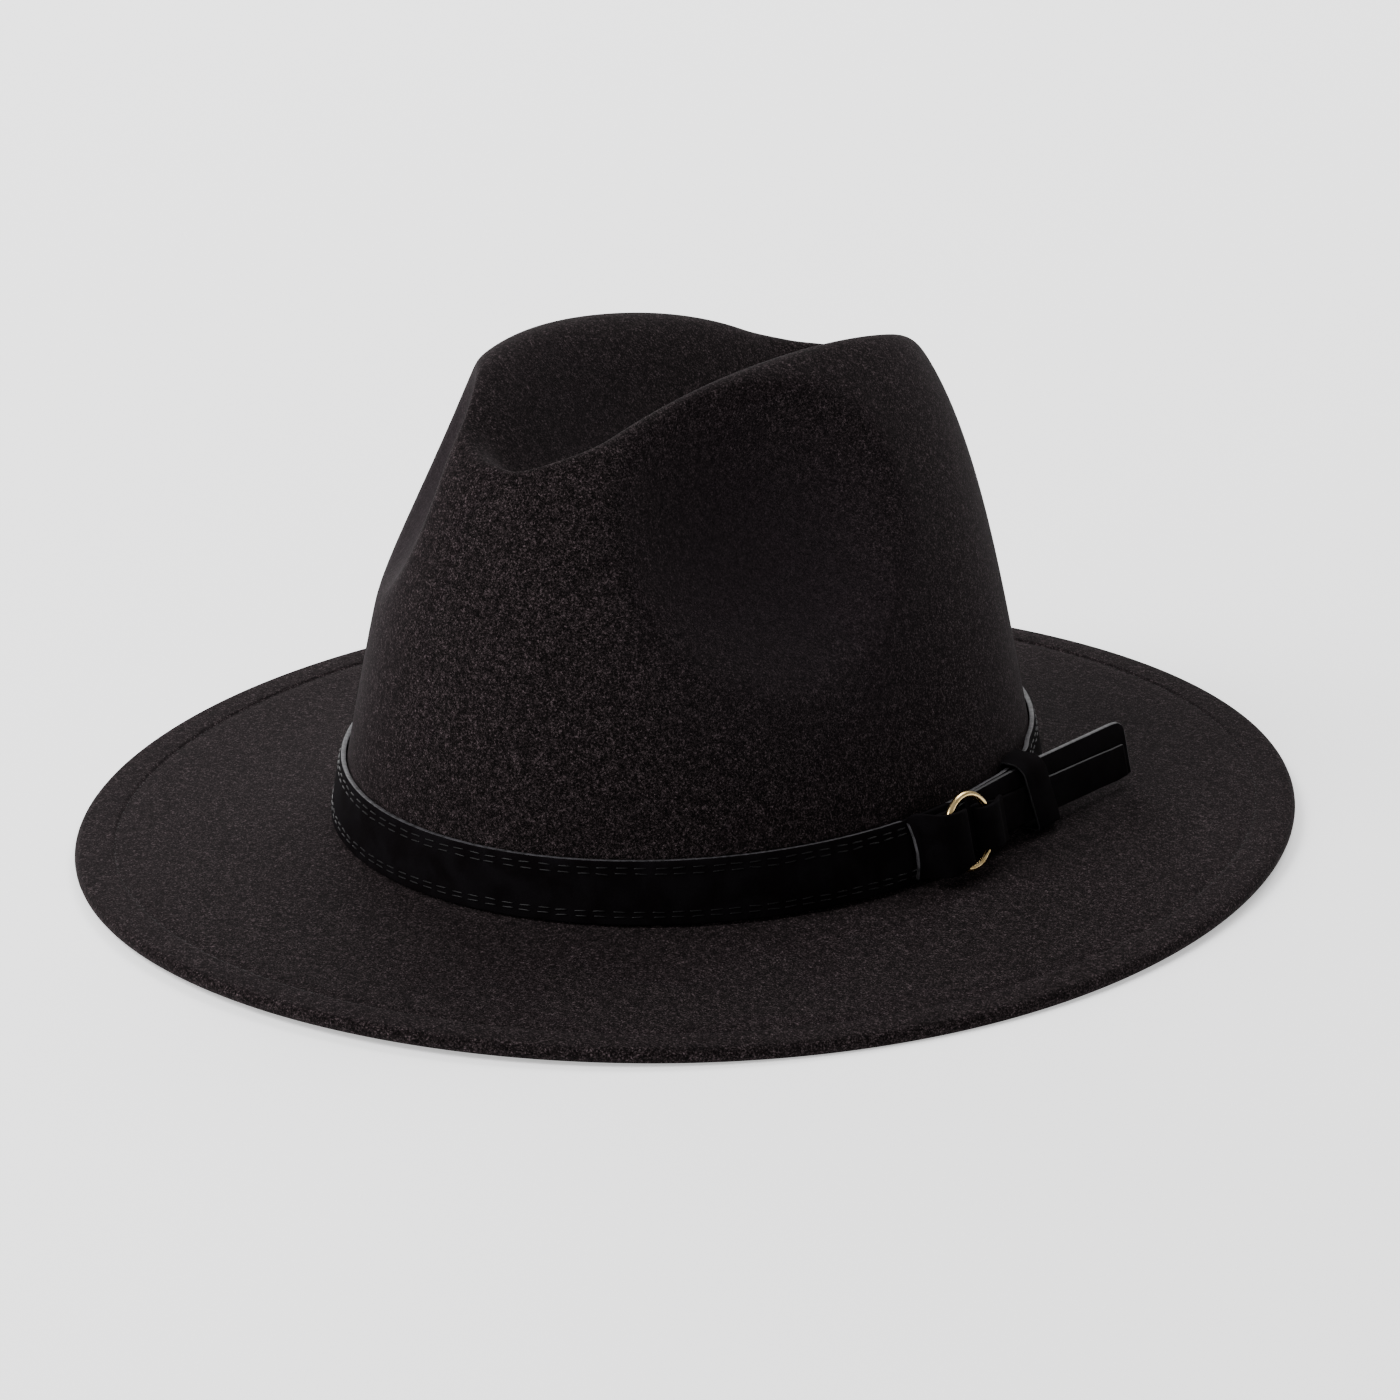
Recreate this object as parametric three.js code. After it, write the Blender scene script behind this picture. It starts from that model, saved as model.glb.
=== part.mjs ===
// Wide-brimmed felt fedora with a creased, pinched crown and a suede belt band
// Millimetres, +Z up, the front towards -Y, the wearer's left (the ring side) towards +X
import * as THREE from 'three';

// Fineness of the faceted surfaces
const AROUND = 72;
const WALL_ROWS = 13;
const CREASE_ROWS = 9;
const BRIM_ROWS = 5;

// Felt
const FELT_THICKNESS = 2.0;
const BREAK_HEIGHT = 8.9;
const GAP = 0.3;

// Open crown before it is dented: half widths at its foot, height, how it narrows, and how far
// its middle lies behind the brim's (in front of it, when negative)
const CROWN = {
  sideRadius: 87.3,
  frontRadius: 101.1,
  height: 129.0,
  squareness: 4.3,
  sideTaper: 0.354,
  frontTaper: 0.102,
  forwardLean: 3.04,
  rearDrop: 2.67,
  twist: 3.34,
  shift: -2.0,
};

// Round dents beside the front, the deeper one on the wearer's left: bearing from the front,
// distance of the bottom from the axis, height of the middle, and the radii of the bowl
const DENTS = [
  {
    side: 1,
    bearing: THREE.MathUtils.degToRad(59.4),
    reach: 41.5,
    height: 113.4,
    acrossRadius: 67.9,
    belowRadius: 47.1,
    aboveRadius: 51.8,
    softness: 8.0,
  },
  {
    side: -1,
    bearing: THREE.MathUtils.degToRad(47),
    reach: 58.8,
    height: 115.8,
    acrossRadius: 67.9,
    belowRadius: 54.0,
    aboveRadius: 65.8,
    softness: 17.4,
  },
];

// Crease along the top: place and height of its floor, how steeply its two sides rise and how
// round its bottom is at the front and the rear, and how the floor rises to the front lip and
// to the rear. The ridge is rounder on the wearer's right
const CREASE = {
  middle: -0.5,
  floor: 91.4,
  slope: -0.08,
  leftSteepness: { front: 1.46, rear: 1.05 },
  rightSteepness: { front: 1.23, rear: 1.18 },
  bottom: { front: 8.7, rear: 3.0 },
  widensFrom: -44.6,
  widensTo: 41.0,
  frontEnd: -64.6,
  frontRise: 12.6,
  rearEnd: 61.8,
  rearRise: 10.6,
  leftSoftness: 12.0,
  rightSoftness: 29.7,
};

// Brim: half widths at its edge, how much broader its front half is, and the gentle wave of the
// edge that rests in three places
const BRIM = {
  sideRadius: 152.9,
  frontRadius: 173.7,
  egg: 0.0146,
  wave: 0.77,
  pressed: 0.25,
};

// Hem, from the top of the brim round the edge to the underside
const HEM_THICKNESS = 4.1;
const HEM_SECTION = [
  { inset: 10.6, drop: 0 },
  { inset: 2.2, drop: 0 },
  { inset: 0.8, drop: 0.4 },
  { inset: 0.1, drop: 1.3 },
  { inset: 0.1, drop: 2.8 },
  { inset: 0.8, drop: 3.7 },
  { inset: 2.2, drop: HEM_THICKNESS },
  { inset: 10.2, drop: HEM_THICKNESS },
  { inset: 10.8, drop: FELT_THICKNESS },
];

// Suede band round the crown. At the keeper it passes over the keeper's inner leaf, so there it
// stands off and its lower edge is lifted
const BAND = {
  thickness: 1.6,
  bottom: BREAK_HEIGHT + GAP,
  top: 25.5,
  standOff: 1.3,
  lift: 1.6,
  coversFrom: THREE.MathUtils.degToRad(100),
  coversTo: THREE.MathUtils.degToRad(109),
  runOut: THREE.MathUtils.degToRad(7),
};

// Ring and straps lean in with the crown's wall, by this much for each millimetre above the
// reference height
const LEAN = 0.22;
const LEAN_HEIGHT = 17.4;

// Gold ring, standing against the band on the wearer's left and turned a little to the front
const RING = {
  x: 91.1,
  y: -14.0,
  z: 19.8,
  meanRadius: 9.4,
  wireRadius: 0.9,
  turn: -0.065,
};

// Suede straps at the ring: places in plan at the reference height, and the strap's lower and
// upper edge
const STRAP_THICKNESS = 1.2;
const FOLD_PLAN = [
  { y: -30.5, x: 84.8, bottom: 11.0, top: 27.4 },
  { y: -28.6, x: 86.2, bottom: 11.1, top: 27.5 },
  { y: -26.9, x: 88.9, bottom: 11.2, top: 27.4 },
  { y: -24.9, x: 91.9, bottom: 11.4, top: 27.2 },
  { y: -22.2, x: 93.0, bottom: 11.8, top: 27.0 },
  { y: -18.6, x: 93.3, bottom: 12.4, top: 26.7 },
  { y: -16.1, x: 92.9, bottom: 12.9, top: 26.4 },
  { y: -15.1, x: 91.4, bottom: 13.2, top: 26.2 },
  { y: -16.1, x: 89.9, bottom: 13.3, top: 26.1 },
  { y: -18.9, x: 89.3, bottom: 13.3, top: 26.0 },
  { y: -22.6, x: 88.3, bottom: 13.4, top: 25.8 },
];

const TONGUE_THICKNESS = 1.0;
const TONGUE_PLAN = [
  { y: 2.8, x: 91.8, bottom: 12.8, top: 24.4 },
  { y: 0.4, x: 92.4, bottom: 13.0, top: 24.5 },
  { y: -2.2, x: 93.6, bottom: 13.3, top: 24.6 },
  { y: -5.0, x: 94.1, bottom: 13.7, top: 24.8 },
  { y: -7.8, x: 94.0, bottom: 14.0, top: 24.9 },
  { y: -9.8, x: 93.4, bottom: 14.3, top: 25.0 },
  { y: -10.5, x: 92.2, bottom: 14.4, top: 25.0 },
  { y: -9.8, x: 91.0, bottom: 14.4, top: 24.9 },
  { y: -7.4, x: 90.4, bottom: 14.4, top: 24.7 },
  { y: -3.0, x: 90.0, bottom: 14.2, top: 24.0 },
  { y: 3.2, x: 89.6, bottom: 13.8, top: 22.5 },
  { y: 30.6, x: 89.6, bottom: 12.1, top: 20.7 },
  { y: 61.9, x: 89.8, bottom: 10.3, top: 18.7 },
  { y: 67.7, x: 89.8, bottom: 10.3, top: 18.4 },
];

const TAIL_PLAN = [
  { y: -7.8, x: 88.2, bottom: 11.8, top: 26.4 },
  { y: 10.4, x: 88.2, bottom: 12.0, top: 26.3 },
  { y: 28.8, x: 88.2, bottom: 11.8, top: 25.9 },
  { y: 53.6, x: 88.3, bottom: 10.3, top: 24.7 },
  { y: 69.8, x: 88.4, bottom: 9.6, top: 23.9 },
  { y: 71.4, x: 88.4, bottom: 9.9, top: 23.0 },
];

// Keeper: a loop round band, tail and tongue. Its inner leaf follows the crown's wall, its outer
// leaf leans in like the straps, and its top lies further forward than its foot
const KEEPER = {
  thickness: 0.9,
  front: 91.0,
  bottom: 9.8,
  top: 27.3,
  corner: 1.2,
  y: 23.2,
  width: 10.5,
  slant: -0.2,
};

// Materials
const felt = new THREE.MeshStandardMaterial({ color: 0x1d1b1c, roughness: 0.95, metalness: 0 });
const suede = new THREE.MeshStandardMaterial({ color: 0x0c0b0e, roughness: 0.9, metalness: 0 });
const gold = new THREE.MeshStandardMaterial({ color: 0xe6c88c, roughness: 0.22, metalness: 1 });

// Smaller of two values, with the corner between them rounded
function softMin(a, b, softness) {
  const near = Math.max(softness - Math.abs(a - b), 0) / softness;
  return Math.min(a, b) - (near ** 3 * softness) / 6;
}

// Point of the crown with its dents, before it is creased and from its own middle. The bearing
// is counted from the front, and the climb goes from 0 at the foot to 1 at the top
function openCrown(bearing, climb) {
  const n = CROWN.squareness;
  const shoulder = 0.5 ** (1 / n);
  const onWall = climb < 0.5;
  const level = onWall ? 2 * climb * shoulder : 2 * (1 - climb) * shoulder;
  const partner = (1 - level ** n) ** (1 / n);
  const rise = onWall ? level : partner;
  const spread = onWall ? partner : level;
  let x = CROWN.sideRadius * (1 - CROWN.sideTaper * rise) * spread * Math.sin(bearing);
  let y = -CROWN.frontRadius * (1 - CROWN.frontTaper * rise) * spread * Math.cos(bearing);
  y -= CROWN.forwardLean * rise;
  let height = CROWN.height * rise;
  height += (CROWN.twist * x * y * rise ** 6) / 1000;
  height -= (CROWN.rearDrop * y * rise ** 4) / 100;
  for (const dent of DENTS) {
    const outX = dent.side * Math.sin(dent.bearing);
    const outY = -Math.cos(dent.bearing);
    const out = x * outX + y * outY;
    const across = (y * outX - x * outY) * dent.side;
    const above = height - dent.height;
    const bowl = above > 0 ? dent.aboveRadius : dent.belowRadius;
    const limit = dent.reach + across ** 2 / (2 * dent.acrossRadius) + above ** 2 / (2 * bowl);
    const push = out > 0 ? softMin(out, limit, dent.softness) - out : 0;
    x += push * outX;
    y += push * outY;
  }
  return new THREE.Vector3(x, y, height);
}

// Height of the crease's floor above the crown's foot
function creaseFloor(x, y) {
  const widening = THREE.MathUtils.smoothstep(y, CREASE.widensFrom, CREASE.widensTo);
  const steep = x > CREASE.middle ? CREASE.leftSteepness : CREASE.rightSteepness;
  const steepness = THREE.MathUtils.lerp(steep.front, steep.rear, widening);
  const bottom = THREE.MathUtils.lerp(CREASE.bottom.front, CREASE.bottom.rear, widening);
  const side = Math.hypot(steepness * (x - CREASE.middle), bottom) - bottom;
  const behind = Math.max(y - CREASE.rearEnd, 0);
  const ahead = Math.max(CREASE.frontEnd - y, 0);
  const ends = behind ** 2 / (2 * CREASE.rearRise) + ahead ** 2 / (2 * CREASE.frontRise);
  return CREASE.floor + CREASE.slope * y + side + ends;
}

// Point of the crown's outer surface
function crownPoint(bearing, climb) {
  const point = openCrown(bearing, climb);
  const leftness = THREE.MathUtils.smoothstep(point.x, -18, 0);
  const softness = THREE.MathUtils.lerp(CREASE.rightSoftness, CREASE.leftSoftness, leftness);
  const height = softMin(point.z, creaseFloor(point.x, point.y), softness);
  point.y += CROWN.shift;
  point.z = BREAK_HEIGHT + height;
  return point;
}

// Climb at which the wall meets the crease, which is the ridge of the crown
function ridgeClimb(bearing) {
  let low = 0;
  let high = 1;
  for (let i = 0; i < 24; i += 1) {
    const middle = (low + high) / 2;
    const { x, y, z } = openCrown(bearing, middle);
    if (creaseFloor(x, y) > z) {
      low = middle;
    } else {
      high = middle;
    }
  }
  return low;
}

// Climb of a row of the crown's mesh, with the rows drawn together at the ridge
function rowClimb(bearing, row) {
  const ridge = ridgeClimb(bearing);
  const wall = Math.min(row / WALL_ROWS, 1);
  const crease = Math.max(row - WALL_ROWS, 0) / CREASE_ROWS;
  return ridge * (1 - (1 - wall) ** 1.6) + (1 - ridge) * crease ** 1.3;
}

// Outward normal of the crown, from small steps over its surface
function crownNormal(bearing, climb) {
  const step = 0.004;
  const low = Math.max(climb - step, 0);
  const high = Math.min(climb + step, 0.999);
  const along = crownPoint(bearing + step, climb).sub(crownPoint(bearing - step, climb));
  const up = crownPoint(bearing, high).sub(crownPoint(bearing, low));
  return along.cross(up).normalize();
}

// Crown surface moved outwards (or inwards, when negative) by a distance
function crownOffset(bearing, climb, distance) {
  return crownPoint(bearing, climb).addScaledVector(crownNormal(bearing, climb), distance);
}

// Top surface of the brim: across is 0 at the crown's foot and 1 at the edge
function brimPoint(bearing, across) {
  const edgeHeight = HEM_THICKNESS + BRIM.wave * (1 + Math.cos(3 * bearing)) - BRIM.pressed;
  const edgeSide = BRIM.sideRadius * (1 + BRIM.egg * Math.cos(bearing));
  const settle = across * (2 - across);
  const side = THREE.MathUtils.lerp(CROWN.sideRadius, edgeSide, across);
  const front = THREE.MathUtils.lerp(CROWN.frontRadius, BRIM.frontRadius, across);
  return new THREE.Vector3(
    side * Math.sin(bearing),
    CROWN.shift * (1 - across) - front * Math.cos(bearing),
    THREE.MathUtils.lerp(BREAK_HEIGHT, edgeHeight, settle),
  );
}

// Part of the way across the brim that lies a given distance inside its edge
function acrossAtInset(bearing, inset) {
  const width = brimPoint(bearing, 1).distanceTo(brimPoint(bearing, 0));
  return 1 - inset / width;
}

// All bearings round the hat
function bearings() {
  return Array.from({ length: AROUND }, (_, i) => (2 * Math.PI * i) / AROUND);
}

// One ring of points round the hat
function ringOf(pointAt) {
  return bearings().map(pointAt);
}

// Closed mesh through a row of sections with the same number of points. The ends are closed by
// the two given points or by flat caps, or the last section meets the first
function loft(sections, ends) {
  const count = sections[0].length;
  const points = sections.flat();
  const faces = [];
  const rows = ends === 'endless' ? sections.length : sections.length - 1;
  for (let i = 0; i < rows; i += 1) {
    const here = i * count;
    const next = ((i + 1) % sections.length) * count;
    for (let j = 0; j < count; j += 1) {
      const k = (j + 1) % count;
      faces.push([here + j, here + k, next + k], [here + j, next + k, next + j]);
    }
  }
  const last = points.length - count;
  if (Array.isArray(ends)) {
    const start = points.push(ends[0]) - 1;
    const end = points.push(ends[1]) - 1;
    for (let j = 0; j < count; j += 1) {
      const k = (j + 1) % count;
      faces.push([start, k, j], [end, last + j, last + k]);
    }
  }
  if (ends === 'capped') {
    for (let j = 1; j < count - 1; j += 1) {
      faces.push([0, j + 1, j], [last, last + j, last + j + 1]);
    }
  }
  return solid(points, faces);
}

// Buffer geometry of a closed mesh, with its faces turned outwards
function solid(points, faces) {
  const cross = new THREE.Vector3();
  let volume = 0;
  for (const [a, b, c] of faces) {
    volume += cross.crossVectors(points[b], points[c]).dot(points[a]);
  }
  const outward = volume > 0 ? faces : faces.map(([a, b, c]) => [a, c, b]);
  const geometry = new THREE.BufferGeometry().setFromPoints(points);
  geometry.setIndex(outward.flat());
  geometry.computeVertexNormals();
  return geometry;
}

// Crown and brim: one felt shell, from the top of the outside round the hem to the inside
function feltBody() {
  const sections = [];
  const crownRows = WALL_ROWS + CREASE_ROWS;
  for (let i = crownRows - 1; i > 0; i -= 1) {
    sections.push(ringOf((b) => crownPoint(b, rowClimb(b, i))));
  }
  for (let i = 0; i < BRIM_ROWS; i += 1) {
    sections.push(ringOf((b) => brimPoint(b, (i / BRIM_ROWS) * acrossAtInset(b, 12))));
  }
  for (const { inset, drop } of HEM_SECTION) {
    sections.push(ringOf((b) => {
      const point = brimPoint(b, acrossAtInset(b, inset));
      point.z = Math.max(point.z - drop, 0);
      return point;
    }));
  }
  for (let i = BRIM_ROWS - 1; i > 0; i -= 1) {
    sections.push(ringOf((b) => {
      const point = brimPoint(b, (i / BRIM_ROWS) * acrossAtInset(b, 12));
      point.z -= FELT_THICKNESS;
      return point;
    }));
  }
  sections.push(ringOf((b) => {
    const point = crownOffset(b, 0, -FELT_THICKNESS);
    point.z = BREAK_HEIGHT - FELT_THICKNESS;
    return point;
  }));
  for (let i = 1; i < crownRows; i += 1) {
    sections.push(ringOf((b) => crownOffset(b, rowClimb(b, i), -FELT_THICKNESS)));
  }
  const top = crownPoint(0, 1);
  const under = top.clone();
  under.z -= FELT_THICKNESS;
  return loft(sections, [top, under]);
}

// Climb of the crown's wall at a height above the floor
function climbAt(height) {
  const shoulder = 0.5 ** (1 / CROWN.squareness);
  return (height - BREAK_HEIGHT) / CROWN.height / shoulder / 2;
}

// Half width of the crown on the wearer's left, at a place along the hat and a height
function crownSide(y, z) {
  const rise = (z - BREAK_HEIGHT) / CROWN.height;
  const along = y - CROWN.shift + CROWN.forwardLean * rise;
  const front = CROWN.frontRadius * (1 - CROWN.frontTaper * rise);
  const side = CROWN.sideRadius * (1 - CROWN.sideTaper * rise);
  return side * Math.sqrt(1 - (along / front) ** 2);
}

// How far the band covers the keeper at a bearing: 1 over it and 0 away from it
function keeperCover(bearing) {
  const from = THREE.MathUtils.smoothstep(bearing, BAND.coversFrom - BAND.runOut, BAND.coversFrom);
  const to = THREE.MathUtils.smoothstep(bearing, BAND.coversTo, BAND.coversTo + BAND.runOut);
  return from * (1 - to);
}

// Suede band: a closed loop that follows the crown's wall
function hatBand() {
  const section = (part, out) => ringOf((b) => {
    const cover = keeperCover(b);
    const bottom = BAND.bottom + BAND.lift * cover;
    const height = THREE.MathUtils.lerp(bottom, BAND.top, part);
    return crownOffset(b, climbAt(height), GAP + BAND.standOff * cover + out);
  });
  const parts = [0, 0.5, 1];
  const inside = parts.map((part) => section(part, 0));
  const outside = parts.map((part) => section(part, BAND.thickness));
  return loft([...inside, ...outside.reverse()], 'endless');
}

// Strap that stands on edge and leans in, led along a row of places in plan
function strap(plan, thickness) {
  const curve = new THREE.CatmullRomCurve3(
    plan.map(({ x, y }) => new THREE.Vector3(x, y, 0)), false, 'centripetal');
  const sections = [];
  const steps = 2 * (plan.length - 1);
  for (let i = 0; i <= steps; i += 1) {
    const t = i / steps;
    const here = curve.getPoint(t);
    const tangent = curve.getTangent(t);
    const side = new THREE.Vector3(tangent.y, -tangent.x, 0).multiplyScalar(thickness / 2);
    const from = plan[Math.floor(i / 2)];
    const to = plan[Math.ceil(i / 2)];
    const bottom = (from.bottom + to.bottom) / 2;
    const top = (from.top + to.top) / 2;
    sections.push([[1, bottom], [1, top], [-1, top], [-1, bottom]].map(([way, z]) => {
      const point = here.clone().addScaledVector(side, way);
      point.x -= LEAN * (z - LEAN_HEIGHT);
      point.z = z;
      return point;
    }));
  }
  return loft(sections, 'capped');
}

// Gold ring, turned so that it faces the wearer's left and leans in
function ring() {
  const geometry = new THREE.TorusGeometry(RING.meanRadius, RING.wireRadius, 10, 40);
  geometry.rotateY(Math.PI / 2 - Math.atan(LEAN));
  return geometry.rotateZ(RING.turn);
}

// Keeper: a rounded loop with its width along Y
function keeper() {
  const middle = (KEEPER.bottom + KEEPER.top) / 2;
  const halfHeight = (KEEPER.top - KEEPER.bottom) / 2;
  const sections = [];
  for (const [signX, signZ, start] of [[1, 1, 0], [-1, 1, 1], [-1, -1, 2], [1, -1, 3]]) {
    for (const step of [0, 0.5, 1]) {
      const angle = ((start + step) * Math.PI) / 2;
      const ends = [[-1, -1], [1, -1], [1, 1], [-1, 1]];
      sections.push(ends.map(([way, end]) => {
        const radius = KEEPER.corner + (way * KEEPER.thickness) / 2;
        const z = middle + signZ * (halfHeight - KEEPER.corner) + radius * Math.sin(angle);
        const y = KEEPER.y + KEEPER.slant * (z - middle) + (end * KEEPER.width) / 2;
        const front = KEEPER.front - LEAN * (z - LEAN_HEIGHT);
        const back = crownSide(y, z) + GAP + KEEPER.thickness / 2;
        const centre = signX > 0 ? front - KEEPER.corner : back + KEEPER.corner;
        return new THREE.Vector3(centre + radius * Math.cos(angle), y, z);
      }));
    }
  }
  return loft(sections, 'endless');
}

// Named mesh in the hat's group
function add(group, name, geometry, material) {
  const mesh = new THREE.Mesh(geometry, material);
  mesh.name = name;
  group.add(mesh);
  return mesh;
}

const fedora = new THREE.Group();
add(fedora, 'felt_body', feltBody(), felt);
add(fedora, 'hat_band', hatBand(), suede);
add(fedora, 'band_fold', strap(FOLD_PLAN, STRAP_THICKNESS), suede);
add(fedora, 'ring', ring(), gold).position.set(RING.x, RING.y, RING.z);
add(fedora, 'tongue', strap(TONGUE_PLAN, TONGUE_THICKNESS), suede);
add(fedora, 'tail', strap(TAIL_PLAN, STRAP_THICKNESS), suede);
add(fedora, 'keeper', keeper(), suede);

export default fedora;
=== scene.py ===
"""Dresses the fedora: felt, suede belt band, stitching and gold ring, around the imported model.

The hat's surfaces come from the same named sizes as the solids, drawn finely, in millimetres.
"""

import logging
import math
from dataclasses import dataclass, field
from enum import Enum
from typing import Callable, Sequence

import bpy
import numpy as np
from mathutils import Matrix, Vector


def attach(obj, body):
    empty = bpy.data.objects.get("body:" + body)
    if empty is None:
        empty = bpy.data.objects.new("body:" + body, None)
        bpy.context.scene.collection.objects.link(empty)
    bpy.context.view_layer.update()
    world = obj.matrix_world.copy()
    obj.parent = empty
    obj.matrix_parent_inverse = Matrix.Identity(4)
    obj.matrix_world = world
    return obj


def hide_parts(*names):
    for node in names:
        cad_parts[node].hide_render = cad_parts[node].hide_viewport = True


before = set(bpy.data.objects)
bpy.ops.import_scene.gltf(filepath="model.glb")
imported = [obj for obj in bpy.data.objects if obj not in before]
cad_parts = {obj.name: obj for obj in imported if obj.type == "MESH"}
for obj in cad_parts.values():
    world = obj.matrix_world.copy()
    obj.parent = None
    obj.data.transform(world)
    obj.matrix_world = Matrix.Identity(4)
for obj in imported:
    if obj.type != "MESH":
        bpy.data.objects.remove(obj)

MM = 0.001
# The straps, the keeper and the ring at the wearer's left lean towards the crown: their travel
# sideways for each millimetre of height, and the height at which their places in plan hold.
LEAN = 0.22
LEAN_HEIGHT = 17.4
BODY = "root"
LOG = logging.getLogger("fedora")

Array = np.ndarray
Socket = bpy.types.NodeSocket
Material = bpy.types.Material
Keyed = dict[str | int, object]


class Ends(Enum):
    """How a lofted mesh closes at its first and last section."""

    ENDLESS = "endless"
    CAPPED = "capped"
    POLES = "poles"


class Slot(Enum):
    """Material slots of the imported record."""

    FELT = "felt"
    SUEDE = "suede"
    GOLD = "gold"


# Meshes

def lofted(name: str, sections: Array, ends: Ends, poles: Sequence[Array] = (),
           paint: Callable[[int, int], int] | None = None) -> bpy.types.Object:
    """Makes a closed mesh through rows of points.

    Args:
        name: the piece's name.
        sections: rows of points in millimetres, shaped (rows, points, 3).
        ends: how the first and last rows close.
        poles: the two end points when the ends are poles.
        paint: gives a face's material index from its row and its place in the row, with row -1
            for the first cap and the number of rows for the last one.

    Returns:
        The new object, linked to the scene.
    """
    rows, count = sections.shape[:2]
    verts = sections.reshape(-1, 3)
    spans = rows if ends is Ends.ENDLESS else rows - 1
    faces: list[tuple[int, ...]] = []
    paints: list[int] = []
    for i in range(spans):
        here = i * count
        there = ((i + 1) % rows) * count
        for j in range(count):
            k = (j + 1) % count
            faces.append((here + j, here + k, there + k, there + j))
            paints.append(paint(i, j) if paint else 0)
    last = (rows - 1) * count
    if ends is Ends.POLES:
        verts = np.vstack([verts, poles[0], poles[1]])
        start, stop = rows * count, rows * count + 1
        for j in range(count):
            k = (j + 1) % count
            faces.append((start, k, j))
            faces.append((stop, last + j, last + k))
            paints.extend([0, 0])
    if ends is Ends.CAPPED:
        faces.append(tuple(range(count))[::-1])
        faces.append(tuple(range(last, last + count)))
        paints.extend([paint(-1, 0), paint(rows, 0)] if paint else [0, 0])
    return meshed(name, verts, faces, paints)


def meshed(name: str, verts: Array, faces: Sequence[Sequence[int]],
           paints: Sequence[int] | None = None) -> bpy.types.Object:
    """Makes a smooth-shaded object from points in millimetres and faces.

    Args:
        name: the piece's name.
        verts: points in millimetres.
        faces: the point numbers of each face.
        paints: each face's material index, or None for all zero.

    Returns:
        The new object, linked to the scene, with its faces turned outwards.
    """
    mesh = bpy.data.meshes.new(name)
    mesh.from_pydata((np.asarray(verts) * MM).tolist(), [], [tuple(f) for f in faces])
    mesh.update()
    if signed_volume(mesh) < 0:
        mesh.flip_normals()
    mesh.polygons.foreach_set("use_smooth", [True] * len(mesh.polygons))
    if paints is not None:
        mesh.polygons.foreach_set("material_index", list(paints))
    piece = bpy.data.objects.new(name, mesh)
    bpy.context.scene.collection.objects.link(piece)
    return piece


def signed_volume(mesh: bpy.types.Mesh) -> float:
    """Works out the volume that a mesh's faces enclose.

    Args:
        mesh: the mesh.

    Returns:
        The volume, negative when the faces look inwards.
    """
    mesh.calc_loop_triangles()
    points = np.empty(len(mesh.vertices) * 3)
    mesh.vertices.foreach_get("co", points)
    points = points.reshape(-1, 3)
    corners = np.empty(len(mesh.loop_triangles) * 3, dtype=np.int64)
    mesh.loop_triangles.foreach_get("vertices", corners)
    a, b, c = (points[corners.reshape(-1, 3)[:, i]] for i in range(3))
    return float(np.einsum("ij,ij->", a, np.cross(b, c))) / 6


def soft_min(a: Array, b: Array, softness: Array | float) -> Array:
    """Returns the smaller of two values, with the corner between them rounded."""
    near = np.maximum(softness - np.abs(a - b), 0) / softness
    return np.minimum(a, b) - near ** 3 * softness / 6


def smoothstep(value: Array, low: float, high: float) -> Array:
    """Returns 0 below low, 1 above high and a smooth rise between."""
    t = np.clip((value - low) / (high - low), 0, 1)
    return t * t * (3 - 2 * t)


def unit(vectors: Array) -> Array:
    """Returns vectors scaled to length one."""
    return vectors / np.maximum(np.linalg.norm(vectors, axis=-1, keepdims=True), 1e-9)


def quarter(out: float, up: float, radius: float, start: int, step: int = 30) -> list[tuple[float, float]]:
    """Returns the points of a quarter turn round a centre, from a start in degrees."""
    angles = [math.radians(degrees) for degrees in range(start, start + 91, step)]
    return [(out + radius * math.cos(a), up + radius * math.sin(a)) for a in angles]


# The hat's surfaces

@dataclass(frozen=True)
class Dent:
    """Round dent beside the front, as a bowl pushed into the crown: its side, its bearing and
    its sizes, with its reach and its height counted from the crown's axis and foot."""

    side: int
    bearing: float
    reach: float
    height: float
    across_radius: float
    below_radius: float
    above_radius: float
    softness: float


LEFT_DENT = Dent(1, math.radians(59.4), 41.5, 113.4, 67.9, 47.1, 51.8, 8.0)
# The right dent is drawn sharper and 2 mm deeper than in the solids, so that its edge shows at
# the crown's outline as it does in the photograph.
RIGHT_DENT = Dent(-1, math.radians(47), 56.8, 115.8, 67.9, 54.0, 65.8, 5.0)


@dataclass(frozen=True)
class Crease:
    """Crease along the top of the crown, with its round front lip and its rear rise. Pairs
    hold the value at the front and the one at the rear."""

    middle: float = -0.5
    floor: float = 91.4
    slope: float = -0.08
    left_steepness: tuple[float, float] = (1.46, 1.05)
    right_steepness: tuple[float, float] = (1.23, 1.18)
    bottom: tuple[float, float] = (8.7, 3.0)
    widens_from: float = -44.6
    widens_to: float = 41.0
    front_end: float = -64.6
    front_rise: float = 12.6
    rear_end: float = 61.8
    rear_rise: float = 10.6
    left_softness: float = 12.0
    right_softness: float = 29.7
    softness_change: tuple[float, float] = (-18.0, 0.0)


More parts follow.
